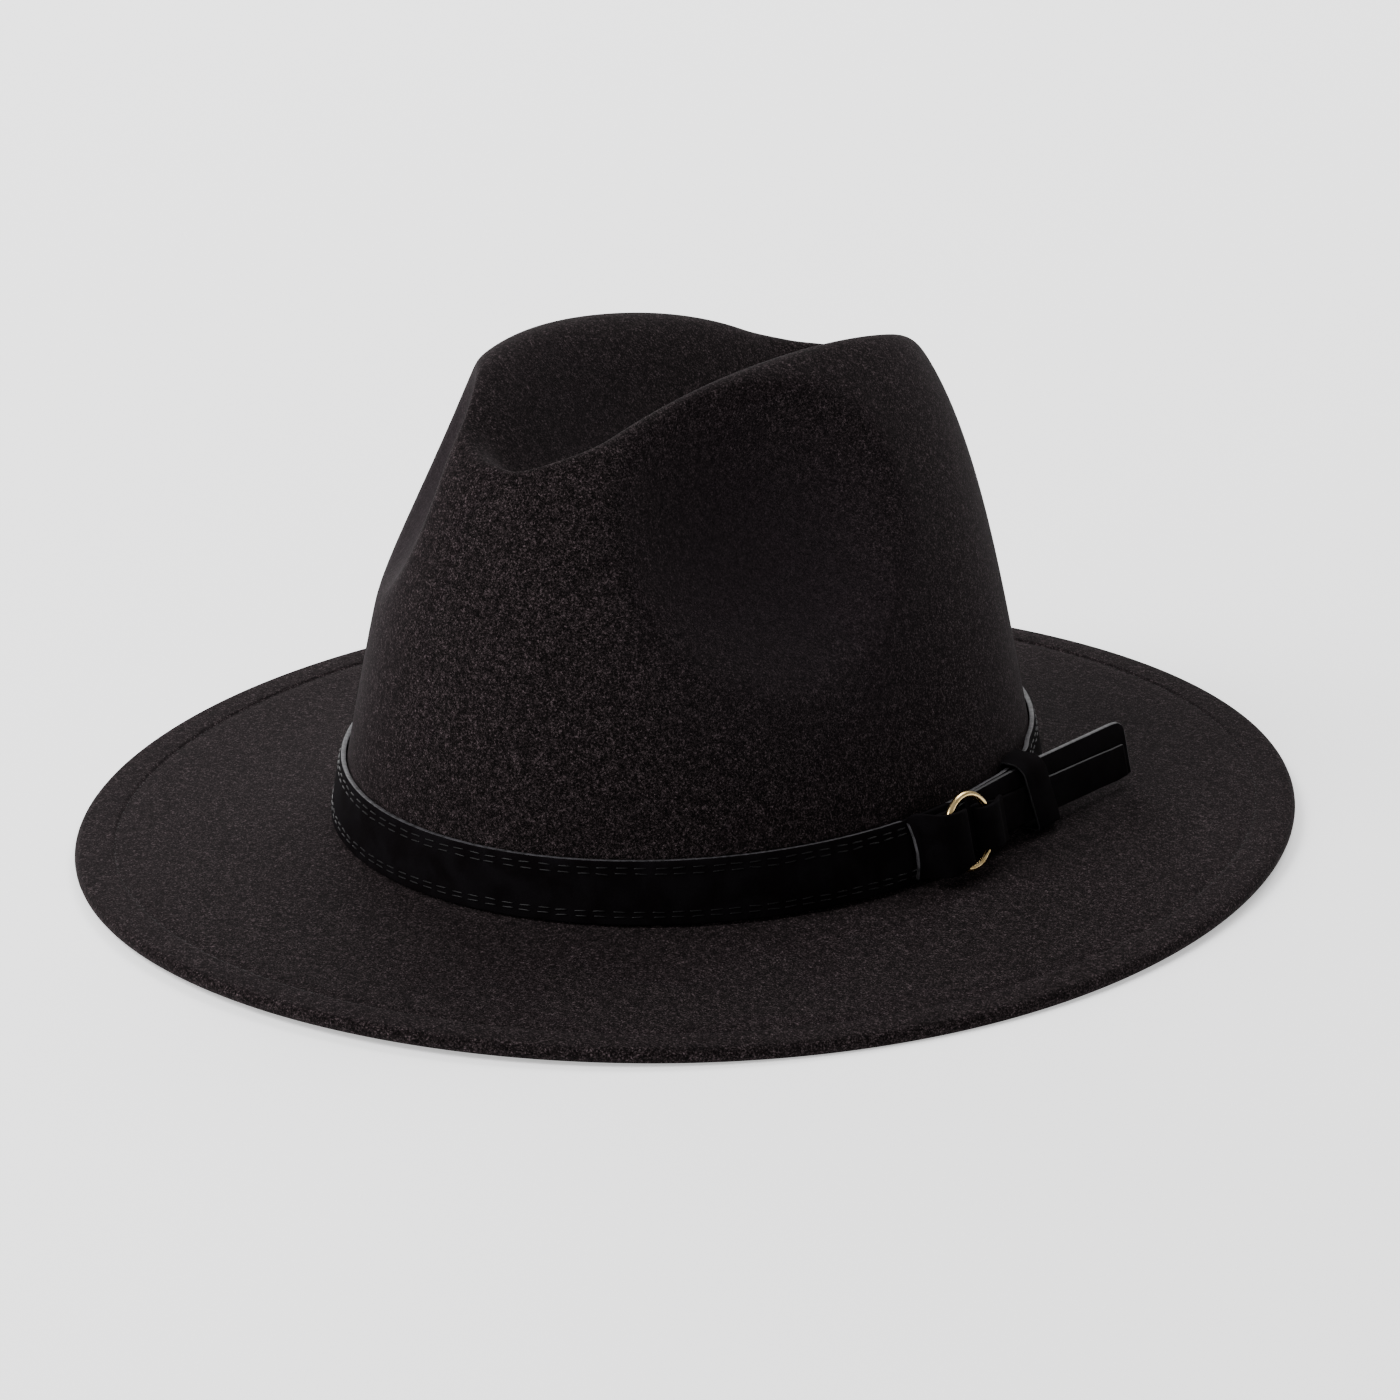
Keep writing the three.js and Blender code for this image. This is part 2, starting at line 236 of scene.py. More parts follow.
@dataclass(frozen=True)
class Crown:
    """Outer surface of the crown, in millimetres above the floor.

    Its outline is a superellipse with squareness as its power, and the tapers are the shares of
    the radii that are lost at full height. The twist lifts the top for each 1000 square
    millimetres of x times y, and rear_drop lowers it for each 100 mm towards the rear."""

    NORMAL_STEP = 0.004
    NEARLY_TOP = 0.999
    HALVINGS = 24

    side_radius: float = 87.3
    front_radius: float = 101.1
    foot: float = 8.9
    height: float = 129.0
    squareness: float = 4.3
    side_taper: float = 0.354
    front_taper: float = 0.102
    forward_lean: float = 3.04
    rear_drop: float = 2.67
    twist: float = 3.34
    shift: float = -2.0
    dents: tuple[Dent, ...] = (LEFT_DENT, RIGHT_DENT)
    crease: Crease = Crease()

    def open_point(self, bearing: Array, climb: Array) -> Array:
        """Returns points of the crown with its dents, before it is creased.

        Args:
            bearing: angle round the hat, counted from the front.
            climb: 0 at the crown's foot and 1 at its top.

        Returns:
            Points, with the height counted from the crown's foot.
        """
        n = self.squareness
        shoulder = 0.5 ** (1 / n)
        on_wall = climb < 0.5
        level = np.where(on_wall, 2 * climb, 2 * (1 - climb)) * shoulder
        partner = np.maximum(1 - level ** n, 0) ** (1 / n)
        rise = np.where(on_wall, level, partner)
        spread = np.where(on_wall, partner, level)
        x = self.side_radius * (1 - self.side_taper * rise) * spread * np.sin(bearing)
        y = -self.front_radius * (1 - self.front_taper * rise) * spread * np.cos(bearing)
        y = y - self.forward_lean * rise
        height = self.height * rise
        height = height + self.twist * x * y * rise ** 6 / 1000
        height = height - self.rear_drop * y * rise ** 4 / 100
        for dent in self.dents:
            x, y = self.dented(x, y, height, dent)
        return np.stack(np.broadcast_arrays(x, y, height), -1)

    def dented(self, x: Array, y: Array, height: Array, dent: Dent) -> tuple[Array, Array]:
        """Pushes points in where a dent lies.

        Args:
            x: places across the hat.
            y: places along the hat.
            height: heights above the crown's foot.
            dent: the dent.

        Returns:
            The new x and y.
        """
        out_x = dent.side * math.sin(dent.bearing)
        out_y = -math.cos(dent.bearing)
        out = x * out_x + y * out_y
        across = (y * out_x - x * out_y) * dent.side
        above = height - dent.height
        bowl = np.where(above > 0, dent.above_radius, dent.below_radius)
        limit = dent.reach + across ** 2 / (2 * dent.across_radius) + above ** 2 / (2 * bowl)
        push = np.where(out > 0, soft_min(out, limit, dent.softness) - out, 0)
        return x + push * out_x, y + push * out_y

    def crease_floor(self, x: Array, y: Array) -> Array:
        """Works out how high the crease's floor lies.

        Args:
            x: places across the hat.
            y: places along the hat.

        Returns:
            Heights above the crown's foot.
        """
        crease = self.crease
        widening = smoothstep(y, crease.widens_from, crease.widens_to)
        on_left = x > crease.middle
        at_front = np.where(on_left, crease.left_steepness[0], crease.right_steepness[0])
        at_rear = np.where(on_left, crease.left_steepness[1], crease.right_steepness[1])
        steepness = at_front + (at_rear - at_front) * widening
        bottom = crease.bottom[0] + (crease.bottom[1] - crease.bottom[0]) * widening
        side = np.hypot(steepness * (x - crease.middle), bottom) - bottom
        behind = np.maximum(y - crease.rear_end, 0)
        ahead = np.maximum(crease.front_end - y, 0)
        ends = behind ** 2 / (2 * crease.rear_rise) + ahead ** 2 / (2 * crease.front_rise)
        return crease.floor + crease.slope * y + side + ends

    def point(self, bearing: Array, climb: Array) -> Array:
        """Returns points of the crown's outer surface.

        Args:
            bearing: angle round the hat, counted from the front.
            climb: 0 at the crown's foot and 1 at its top.

        Returns:
            Points in millimetres above the floor.
        """
        points = self.open_point(bearing, climb)
        floor = self.crease_floor(points[..., 0], points[..., 1])
        crease = self.crease
        leftness = smoothstep(points[..., 0], *crease.softness_change)
        softness = crease.right_softness + (crease.left_softness - crease.right_softness) * leftness
        points[..., 2] = self.foot + soft_min(points[..., 2], floor, softness)
        points[..., 1] += self.shift
        return points

    def normal(self, bearing: Array, climb: Array) -> Array:
        """Returns the crown's outward normals, from small steps over its surface.

        Args:
            bearing: angle round the hat, counted from the front.
            climb: 0 at the crown's foot and 1 at its top.

        Returns:
            Normals of length one.
        """
        step = self.NORMAL_STEP
        low = np.maximum(climb - step, 0)
        high = np.minimum(climb + step, self.NEARLY_TOP)
        along = self.point(bearing + step, climb) - self.point(bearing - step, climb)
        up = self.point(bearing, high) - self.point(bearing, low)
        return unit(np.cross(along, up))

    def offset(self, bearing: Array, climb: Array, distance: Array | float) -> Array:
        """Returns the surface moved out (or in, when negative) by a distance."""
        return self.point(bearing, climb) + self.normal(bearing, climb) * np.asarray(distance)[..., None]

    def ridge(self, bearing: Array) -> Array:
        """Finds by halving where the wall meets the crease.

        Args:
            bearing: angle round the hat, counted from the front.

        Returns:
            The climb of the ridge at each bearing.
        """
        low = np.zeros_like(bearing)
        high = np.ones_like(bearing)
        for _ in range(self.HALVINGS):
            middle = (low + high) / 2
            points = self.open_point(bearing, middle)
            below = self.crease_floor(points[..., 0], points[..., 1]) > points[..., 2]
            low = np.where(below, middle, low)
            high = np.where(below, high, middle)
        return low

    def side_at(self, y: float, z: float) -> float:
        """Works out how far the wall stands from the middle on the wearer's left.

        Args:
            y: place along the hat.
            z: height above the floor.

        Returns:
            The distance from the hat's middle plane.
        """
        rise = (z - self.foot) / self.height
        along = y - self.shift + self.forward_lean * rise
        front = self.front_radius * (1 - self.front_taper * rise)
        return self.side_radius * (1 - self.side_taper * rise) * math.sqrt(1 - (along / front) ** 2)

    def climb_at(self, height: Array) -> Array:
        """Returns the climb of the wall at a height above the floor."""
        shoulder = 0.5 ** (1 / self.squareness)
        return (height - self.foot) / self.height / shoulder / 2


@dataclass(frozen=True)
class Brim:
    """Top surface of the brim, from the crown's foot to its edge. The wave lifts the edge three
    times round, and the felt is pressed flat by a little where it stands on the floor."""

    crown: Crown
    side_radius: float = 152.9
    front_radius: float = 173.7
    egg: float = 0.0146
    wave: float = 0.77
    pressed: float = 0.25
    hem_thickness: float = 4.1

    def point(self, bearing: Array, across: Array) -> Array:
        """Returns points of the brim's top surface.

        Args:
            bearing: angle round the hat, counted from the front.
            across: 0 at the crown's foot and 1 at the brim's edge.

        Returns:
            Points in millimetres above the floor.
        """
        crown = self.crown
        edge = self.hem_thickness + self.wave * (1 + np.cos(3 * bearing)) - self.pressed
        settle = across * (2 - across)
        edge_x = self.side_radius * (1 + self.egg * np.cos(bearing))
        half_x = crown.side_radius + (edge_x - crown.side_radius) * across
        half_y = crown.front_radius + (self.front_radius - crown.front_radius) * across
        height = crown.foot + (edge - crown.foot) * settle
        x = half_x * np.sin(bearing)
        y = crown.shift * (1 - across) - half_y * np.cos(bearing)
        return np.stack(np.broadcast_arrays(x, y, height), -1)

    def across_at(self, bearing: Array, inset: float) -> Array:
        """Works out where a distance inside the brim's edge lies.

        Args:
            bearing: angle round the hat, counted from the front.
            inset: the distance in millimetres.

        Returns:
            The places from 0 at the crown's foot to 1 at the edge.
        """
        one = np.ones_like(bearing)
        span = self.point(bearing, one) - self.point(bearing, 0 * one)
        return 1 - inset / np.linalg.norm(span, axis=-1)

    def ring(self, bearing: Array, inset: float) -> Array:
        """Returns points of the brim's top at a distance inside its edge."""
        return self.point(bearing, self.across_at(bearing, inset))


def around(count: int) -> Array:
    """Returns evenly spaced bearings round the hat."""
    return np.arange(count) * 2 * math.pi / count


# Materials

def linear(code: str) -> tuple[float, float, float, float]:
    """Turns an sRGB colour into a linear one.

    Args:
        code: the colour as a hex value such as 1a2b3c.

    Returns:
        Red, green, blue and an alpha of one.
    """
    parts = [int(code[i:i + 2], 16) / 255 for i in (0, 2, 4)]
    values = [c / 12.92 if c <= 0.04045 else ((c + 0.055) / 1.055) ** 2.4 for c in parts]
    return (values[0], values[1], values[2], 1.0)


def per_metre(size_mm: float) -> float:
    """Returns the texture scale that gives features of a size in millimetres."""
    return 1 / (size_mm * MM)


class Graph:
    """Node tree of one new material."""

    def __init__(self, name: str) -> None:
        """Starts a material with an output and a principled shader.

        Args:
            name: the material's name.
        """
        self.material = bpy.data.materials.new(name)
        self.material.use_nodes = True
        self.tree = self.material.node_tree
        self.tree.nodes.clear()
        self.shader = self.add("ShaderNodeBsdfPrincipled")
        self.add("ShaderNodeOutputMaterial", {}, {"Surface": self.shader.outputs["BSDF"]})

    def add(self, kind: str, settings: Keyed | None = None, links: Keyed | None = None) -> bpy.types.Node:
        """Adds a node.

        Args:
            kind: the node's type name.
            settings: socket values (by socket name or number), node properties, and as "stops"
                the places and sRGB hex colours of a ramp.
            links: output sockets to link, by input name or number.

        Returns:
            The new node.
        """
        node = self.tree.nodes.new(kind)
        for key, value in (settings or {}).items():
            if isinstance(key, int) or key in node.inputs:
                node.inputs[key].default_value = value
            elif key == "stops":
                elements = node.color_ramp.elements
                while len(elements) < len(value):
                    elements.new(0.5)
                for element, (place, code) in zip(elements, value):
                    element.position = place
                    element.color = linear(code)
            else:
                setattr(node, key, value)
        for key, output in (links or {}).items():
            self.tree.links.new(output, node.inputs[key])
        return node

    def link(self, output: Socket, name: str) -> None:
        """Links an output to one of the shader's inputs."""
        self.tree.links.new(output, self.shader.inputs[name])

    def set(self, **values: object) -> None:
        """Sets constants on the shader, with underscores for spaces in socket names."""
        for key, value in values.items():
            self.shader.inputs[key.replace("_", " ")].default_value = value


@dataclass(frozen=True)
class WoolFelt:
    """Black wool felt, pressed and brushed: the eye sees a matt warm black with sharp small
    flecks where tufts of crossing fibres catch the light, and a pale bloom where the surface
    turns away. In the two dents the flecks give way to a flatter, nearly even tone. That tone is
    painted shade, because less light reaches the dents. The flecks are drawn as tufts of about
    0.4 mm, because single wool fibres are too fine to see."""

    tones: tuple[tuple[float, str], ...] = (
        (0.34, "020202"), (0.45, "080606"), (0.51, "120e0f"), (0.585, "282223"), (0.69, "4e4346"))
    # Tones for the two dents and where those dents lie: painted shade, a flatter tone without the bright
    # flecks.
    pressed: tuple[tuple[float, str], ...] = ((0.3, "090708"), (0.5, "171315"), (0.7, "2b2427"))
    dent_shade_mm: tuple[float, float, float] = (45.0, -35.0, 85.0)
    dent_shade_reach_mm: tuple[float, float] = (10.0, 64.0)
    tuft_mm: float = 0.46
    mat_mm: float = 1.6
    mat_share: float = 0.2
    bump_mm: float = 0.1

    def build(self) -> Material:
        """Builds the material.

        Returns:
            The new material.
        """
        graph = Graph("black_wool_felt")
        place = graph.add("ShaderNodeTexCoord").outputs["Object"]
        mat = graph.add("ShaderNodeTexNoise", {"Scale": per_metre(self.mat_mm), "Detail": 2.0},
                        {"Vector": place})
        tuft = graph.add("ShaderNodeTexNoise",
                         {"Scale": per_metre(self.tuft_mm), "Detail": 2.0, "Roughness": 0.7,
                          "Distortion": 0.8},
                         {"Vector": place})
        mixed = graph.add("ShaderNodeMix", {"data_type": "FLOAT", 0: self.mat_share},
                          {2: tuft.outputs["Fac"], 3: mat.outputs["Fac"]})
        flat, flecked = (graph.add("ShaderNodeValToRGB", {"stops": stops}, {"Fac": mixed.outputs[0]})
                         for stops in (self.pressed, self.tones))
        # Painted shade: the dents take the flat tones, and the rest of the felt takes the flecked ones.
        colour = graph.add("ShaderNodeMix", {"data_type": "RGBA"},
                           {0: self.away_from_dent_shade(graph, place), 6: flat.outputs["Color"],
                            7: flecked.outputs["Color"]})
        graph.link(colour.outputs[2], "Base Color")
        bump = graph.add("ShaderNodeBump", {"Strength": 0.5, "Distance": self.bump_mm * MM},
                         {"Height": tuft.outputs["Fac"]})
        graph.link(bump.outputs["Normal"], "Normal")
        graph.set(Roughness=0.95, IOR=1.45, Specular_IOR_Level=0.05)
        graph.set(Sheen_Weight=0.035, Sheen_Roughness=0.45, Sheen_Tint=linear("b8a8ac"))
        return graph.material

    def away_from_dent_shade(self, graph: Graph, place: Socket) -> Socket:
        """Measures the distance to the nearer dent's middle, which places the dents' painted shade.

        Args:
            graph: the material's graph.
            place: the point on the object, in metres.

        Returns:
            An output with 0 in the two dents and 1 well away from them.
        """
        distances = {}
        for number, side in enumerate((1, -1)):
            middle = tuple(v * MM for v in (side * self.dent_shade_mm[0], *self.dent_shade_mm[1:]))
            distances[number] = graph.add("ShaderNodeVectorMath", {"operation": "DISTANCE", 1: middle},
                                          {0: place}).outputs["Value"]
        near = graph.add("ShaderNodeMath", {"operation": "MINIMUM"}, distances)
        low, high = (v * MM for v in self.dent_shade_reach_mm)
        fade = graph.add("ShaderNodeMapRange",
                         {"interpolation_type": "SMOOTHSTEP", "From Min": low, "From Max": high},
                         {"Value": near.outputs[0]})
        return fade.outputs["Result"]


@dataclass(frozen=True)
class Suede:
    """Black suede with a sheared nap: the eye sees an almost lightless black, a little
    lighter where the nap is stroked the other way."""

    base: str = "060405"
    stroked: str = "0b090b"
    nap_mm: float = 0.35
    nap_depth_mm: float = 0.12
    stroke_mm: float = 9.0

    def build(self) -> Material:
        """Builds the material.

        Returns:
            The new material.
        """
        graph = Graph("black_suede")
        place = graph.add("ShaderNodeTexCoord").outputs["Object"]
        stroke = graph.add("ShaderNodeTexNoise",
                           {"Scale": per_metre(self.stroke_mm), "Detail": 3.0, "Distortion": 0.6},
                           {"Vector": place})
        nap = graph.add("ShaderNodeTexNoise", {"Scale": per_metre(self.nap_mm), "Detail": 3.0},
                        {"Vector": place})
        colour = graph.add("ShaderNodeValToRGB", {"stops": ((0.4, self.base), (0.62, self.stroked))},
                           {"Fac": stroke.outputs["Fac"]})
        graph.link(colour.outputs["Color"], "Base Color")
        bump = graph.add("ShaderNodeBump", {"Strength": 0.35, "Distance": self.nap_depth_mm * MM},
                         {"Height": nap.outputs["Fac"]})
        graph.link(bump.outputs["Normal"], "Normal")
        graph.set(Roughness=0.92, IOR=1.45, Specular_IOR_Level=0.03)
        graph.set(Sheen_Weight=0.006, Sheen_Roughness=0.5, Sheen_Tint=linear("ac9ea8"))
        return graph.material


@dataclass(frozen=True)
class CutEdge:
    """Cut edge of the suede strap: the eye sees the paler grey fibre of the leather's core,
    a little polished along the line of the knife, and darker where dye has reached it."""

    name: str
    dark: str
    pale: str
    gloss: float
    fray_mm: float = 1.6
    fray_depth_mm: float = 0.1

    def build(self) -> Material:
        """Builds the material.

        Returns:
            The new material.
        """
        graph = Graph(self.name)
        place = graph.add("ShaderNodeTexCoord").outputs["Object"]
        fray = graph.add("ShaderNodeTexNoise", {"Scale": per_metre(self.fray_mm), "Detail": 4.0},
                         {"Vector": place})
        colour = graph.add("ShaderNodeValToRGB", {"stops": ((0.35, self.dark), (0.6, self.pale))},
                           {"Fac": fray.outputs["Fac"]})
        graph.link(colour.outputs["Color"], "Base Color")
        bump = graph.add("ShaderNodeBump", {"Strength": 0.3, "Distance": self.fray_depth_mm * MM},
                         {"Height": fray.outputs["Fac"]})
        graph.link(bump.outputs["Normal"], "Normal")
        graph.set(Roughness=0.6, IOR=1.48, Specular_IOR_Level=self.gloss)
        return graph.material


PALE_EDGE = CutEdge("cut_suede_edge", "1c1b1d", "403e42", 0.5)
DARK_EDGE = CutEdge("dyed_suede_edge", "0e0d0f", "1b191c", 0.35)


@dataclass(frozen=True)
class WaxedThread:
    """Black waxed polyester thread: the eye sees short twisted dashes with a soft shine."""

    name: str
    base: str
    lit: str
    gloss: float
    twist_mm: float = 0.5

    def build(self) -> Material:
        """Builds the material.

        Returns:
            The new material.
        """
        graph = Graph(self.name)
        place = graph.add("ShaderNodeTexCoord").outputs["Object"]
        twist = graph.add("ShaderNodeTexNoise", {"Scale": per_metre(self.twist_mm), "Detail": 2.0},
                          {"Vector": place})
        colour = graph.add("ShaderNodeValToRGB", {"stops": ((0.4, self.base), (0.6, self.lit))},
                           {"Fac": twist.outputs["Fac"]})
        graph.link(colour.outputs["Color"], "Base Color")
        graph.set(Roughness=0.42, IOR=1.53, Specular_IOR_Level=self.gloss)
        return graph.material


BAND_THREAD = WaxedThread("waxed_band_thread", "040304", "080709", 0.2)
HEM_THREAD = WaxedThread("sunk_hem_thread", "080707", "110e0f", 0.03)


@dataclass(frozen=True)
class GoldPlate:
    """Pale gold plating on a cast zinc ring, polished: the eye sees clean warm reflections
    with a faint haze of handling."""

    colour: str = "f0d29a"
    worn: str = "d9b878"
    haze_mm: float = 3.0

    def build(self) -> Material:
        """Builds the material.

        Returns:
            The new material.
        """
        graph = Graph("pale_gold_plate")
        place = graph.add("ShaderNodeTexCoord").outputs["Object"]
        haze = graph.add("ShaderNodeTexNoise", {"Scale": per_metre(self.haze_mm), "Detail": 4.0},
                         {"Vector": place})
        colour = graph.add("ShaderNodeValToRGB", {"stops": ((0.35, self.worn), (0.6, self.colour))},
                           {"Fac": haze.outputs["Fac"]})
        graph.link(colour.outputs["Color"], "Base Color")
        rough = graph.add("ShaderNodeMapRange", {"To Min": 0.14, "To Max": 0.3},
                          {"Value": haze.outputs["Fac"]})
        graph.link(rough.outputs["Result"], "Roughness")
        graph.set(Metallic=1.0)
        return graph.material


@dataclass
class Finishes:
    """The hat's materials, each built once."""

    felt: Material = field(default_factory=lambda: WoolFelt().build())
    suede: Material = field(default_factory=lambda: Suede().build())
    edge: Material = field(default_factory=PALE_EDGE.build)
    dim_edge: Material = field(default_factory=DARK_EDGE.build)
    thread: Material = field(default_factory=BAND_THREAD.build)
    hem_thread: Material = field(default_factory=HEM_THREAD.build)
    gold: Material = field(default_factory=lambda: GoldPlate().build())


def dress(piece: bpy.types.Object, materials: Sequence[Material], slot: Slot,
          *nodes: str) -> None:
    """Gives a piece its materials and body, and hides the solids that it replaces.

    Args:
        piece: the object.
        materials: its materials, in the order of its faces' indices.
        slot: the record's slot that its finish belongs to; not used.
        nodes: the CAD nodes that it stands for.
    """
    for material in materials:
        piece.data.materials.append(material)
    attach(piece, BODY)
    if nodes:
        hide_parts(*nodes)
    LOG.info("%s: %d faces", piece.name, len(piece.data.polygons))


# Stitching

@dataclass(frozen=True)
class Stitch:
    """One sewn stitch: a rounded bar of thread, half sunk in the material. The last three
    fields are the spread of its place (as a share of the pitch), its offset and its slant."""

    length: float
    radius: float
    sides: int = 6
    station_spread: float = 0.04
    sway_mm: float = 0.06
    tilt: float = 0.04

    def bar(self) -> tuple[Array, list[tuple[int, ...]]]:
        """Makes the bar along X, with Z up.

        Returns:
            Its points and its faces.
        """
        rings = ((-0.44, 0.7), (-0.25, 1.0), (0.25, 1.0), (0.44, 0.7))
        count = self.sides
        points = []
        for along, thick in rings:
            radius = thick * self.radius
            points += [(along * self.length, radius * math.cos(a), radius * math.sin(a))
                       for a in around(count)]
        faces: list[tuple[int, ...]] = []
        last = (len(rings) - 1) * count
        for start in range(0, last, count):
            for j in range(count):
                k = (j + 1) % count
                faces.append((start + j, start + k, start + count + k, start + count + j))
        points.extend([(-0.5 * self.length, 0, 0), (0.5 * self.length, 0, 0)])
        tips = len(points) - 2
        for j in range(count):
            k = (j + 1) % count
            faces.append((tips, k, j))
            faces.append((tips + 1, last + j, last + k))
        return np.array(points), faces


def sewn(name: str, path: Array, normals: Array, pitch: float, stitch: Stitch, seed: int
         ) -> bpy.types.Object:
    """Lays stitches along a path that runs back to its start, each a little off its place.

    Args:
        name: the piece's name.
        path: points along the seam.
        normals: the surface's outward normal at each point.
        pitch: distance from stitch to stitch.
        stitch: the stitch that is laid.
        seed: seed of the small irregularities.

    Returns:
        One object with all the stitches.
    """
    path = np.vstack([path, path[:1]])
    normals = np.vstack([normals, normals[:1]])
    chance = np.random.default_rng(seed)
    steps = np.linalg.norm(np.diff(path, axis=0), axis=1)
    travelled = np.concatenate([[0], np.cumsum(steps)])
    total = travelled[-1]
    count = int(total // pitch)
    stations = (np.arange(count) + 0.5) * (total / count)
    stations += chance.normal(0, stitch.station_spread * pitch, count)
    sways = chance.normal(0, stitch.sway_mm, count)
    tilts = chance.normal(0, stitch.tilt, count)

    def at(values: Array, station: float) -> Array:
        """Returns values along the seam at a distance from its start."""
        return np.array([np.interp(station, travelled, values[:, axis]) for axis in range(3)])

    points, faces = stitch.bar()
    reach = 0.5
    verts = []
    all_faces: list[tuple[int, ...]] = []
    for i, station in enumerate(stations):
        up = unit(at(normals, station))
        along = unit(at(path, station + reach) - at(path, station - reach))
        side = unit(np.cross(up, along))
        up = np.cross(along, side)
        turned = unit(along + side * tilts[i])
        bar = points @ np.array([turned, np.cross(up, turned), up])
        verts.append(at(path, station) + side * sways[i] + bar)
        all_faces.extend(tuple(v + i * len(points) for v in face) for face in faces)
    return meshed(name, np.vstack(verts), all_faces)


# Felt

@dataclass
class FeltBody:
    """Crown and brim, one piece of felt, with the brim's edge folded under and sewn.

    The groove of the hem's seam has one half width towards the crown and one towards the edge.
    The swell of the folded felt beside it has a height, an inset and a half width."""

    crown: Crown
    brim: Brim
    finishes: Finishes
    felt_thickness: float = 2.0
    columns: int = 300
    wall_rows: int = 84
    crease_rows: int = 54
    inner_wall_rows: int = 26
    inner_crease_rows: int = 16
    wall_bias: float = 1.4
    crease_bias: float = 1.15
    brim_rows: int = 22
    top_insets: tuple[float, ...] = (14.0, 13.0, *np.linspace(12, 8.8, 17), *np.linspace(8, 3, 6))
    under_rows: int = 10
    under_reach: float = 12.0
    seam_inset: float = 10.4
    seam_points: int = 720
    groove_depth: float = 0.45
    groove_widths: tuple[float, float] = (2.34, 0.585)
    swell: tuple[float, float, float] = (0.18, 6.0, 3.0)
    edge_radius: float = 2.1
    edge_inset: float = 0.02
    edge_steps: int = 13
    stitch: Stitch = Stitch(1.9, 0.24)
    stitch_pitch: float = 2.8
    stitch_sink: float = 0.18
    stitch_seed: int = 5

    def crown_rows(self, bearing: Array, wall: int, crease: int) -> Array:
        """Places the crown's rows, drawn together at its ridge.

        Args:
            bearing: the bearings of the columns.
            wall: number of rows below the ridge.
            crease: number of rows above it.

        Returns:
            The climb of each row at each bearing.
        """
        ridge = self.crown.ridge(bearing)[None, :]
        below = 1 - (1 - np.arange(1, wall + 1) / wall) ** self.wall_bias
        above = (np.arange(1, crease) / crease) ** self.crease_bias
        return np.vstack([ridge * below[:, None], ridge + (1 - ridge) * above[:, None]])

    def brim_top(self, bearing: Array) -> list[Array]:
        """Makes the rings of the brim's top, closest together at the groove of the hem's seam.

        Args:
            bearing: the bearings of the columns.

        Returns:
            The rings from the crown's foot outwards.
        """
        reach = self.brim.across_at(bearing, self.top_insets[0])
        rings = [self.brim.point(bearing, reach * i / self.brim_rows)
                 for i in range(self.brim_rows)]
        swell_height, swell_inset, swell_width = self.swell
        for inset in self.top_insets:
            ring = self.brim.ring(bearing, inset)
            from_seam = inset - self.seam_inset
            width = self.groove_widths[0 if from_seam > 0 else 1]
            ring[..., 2] -= self.groove_depth * math.exp(-(from_seam / width) ** 2)
            ring[..., 2] += swell_height * math.exp(-((inset - swell_inset) / swell_width) ** 2)
            rings.append(ring)
        return rings

    def hem(self, bearing: Array) -> list[Array]:
        """Makes the rings round the brim's edge and under the hem, up to its cut edge.

        Args:
            bearing: the bearings of the columns.

        Returns:
            The rings from the top of the edge to the brim's underside.
        """
        thick, felt = self.brim.hem_thickness, self.felt_thickness
        rings = []
        for angle in np.linspace(0, math.pi, self.edge_steps):
            inset = self.edge_radius * (1 - math.sin(angle)) + self.edge_inset
            rings.append((inset, thick / 2 * (1 - math.cos(angle))))
        # Under the hem, round its cut edge and on to the brim's own underside.
        rings += [(4.0, thick), (6.0, thick), (8.0, thick), (9.7, thick), (10.2, thick - 0.25),
                  (10.45, thick - 0.9), (10.6, felt + 0.2), (11.0, felt)]
        out = []
        for inset, drop in rings:
            ring = self.brim.ring(bearing, inset)
            ring[..., 2] = np.maximum(ring[..., 2] - drop, 0)
            out.append(ring)
        return out

    def build(self) -> None:
        """Builds the felt and the hem's stitches, and dresses them."""
        bearing = around(self.columns)
        outer = self.crown_rows(bearing, self.wall_rows, self.crease_rows)[::-1]
        inner = self.crown_rows(bearing, self.inner_wall_rows, self.inner_crease_rows)
        rings = [self.crown.point(bearing, climb) for climb in outer]
        rings += self.brim_top(bearing)
        rings += self.hem(bearing)
        reach = self.brim.across_at(bearing, self.under_reach)
        for part in np.linspace(1, 0.08, self.under_rows):
            ring = self.brim.point(bearing, reach * part)
            ring[..., 2] -= self.felt_thickness
            rings.append(ring)
        foot = self.crown.offset(bearing, np.zeros_like(bearing), -self.felt_thickness)
        foot[..., 2] = self.crown.foot - self.felt_thickness
        rings.append(foot)
        rings += [self.crown.offset(bearing, climb, -self.felt_thickness) for climb in inner]
        top = self.crown.point(np.array(0.0), np.array(1.0))
        under = top - np.array([0, 0, self.felt_thickness])
        body = lofted("felt", np.array(rings), Ends.POLES, (top[None], under[None]))
        dress(body, [self.finishes.felt], Slot.FELT, "felt_body")
        self.sew_hem()

    def sew_hem(self) -> None:
        """Sews the hem with a row of stitches sunk in its groove."""
        path = self.brim.ring(around(self.seam_points), self.seam_inset)
        path[..., 2] -= self.groove_depth + self.stitch_sink
        normals = np.tile([0.0, 0.0, 1.0], (len(path), 1))
        seam = sewn("hem_stitches", path, normals, self.stitch_pitch, self.stitch, self.stitch_seed)
        dress(seam, [self.finishes.hem_thread], Slot.FELT)


# Suede

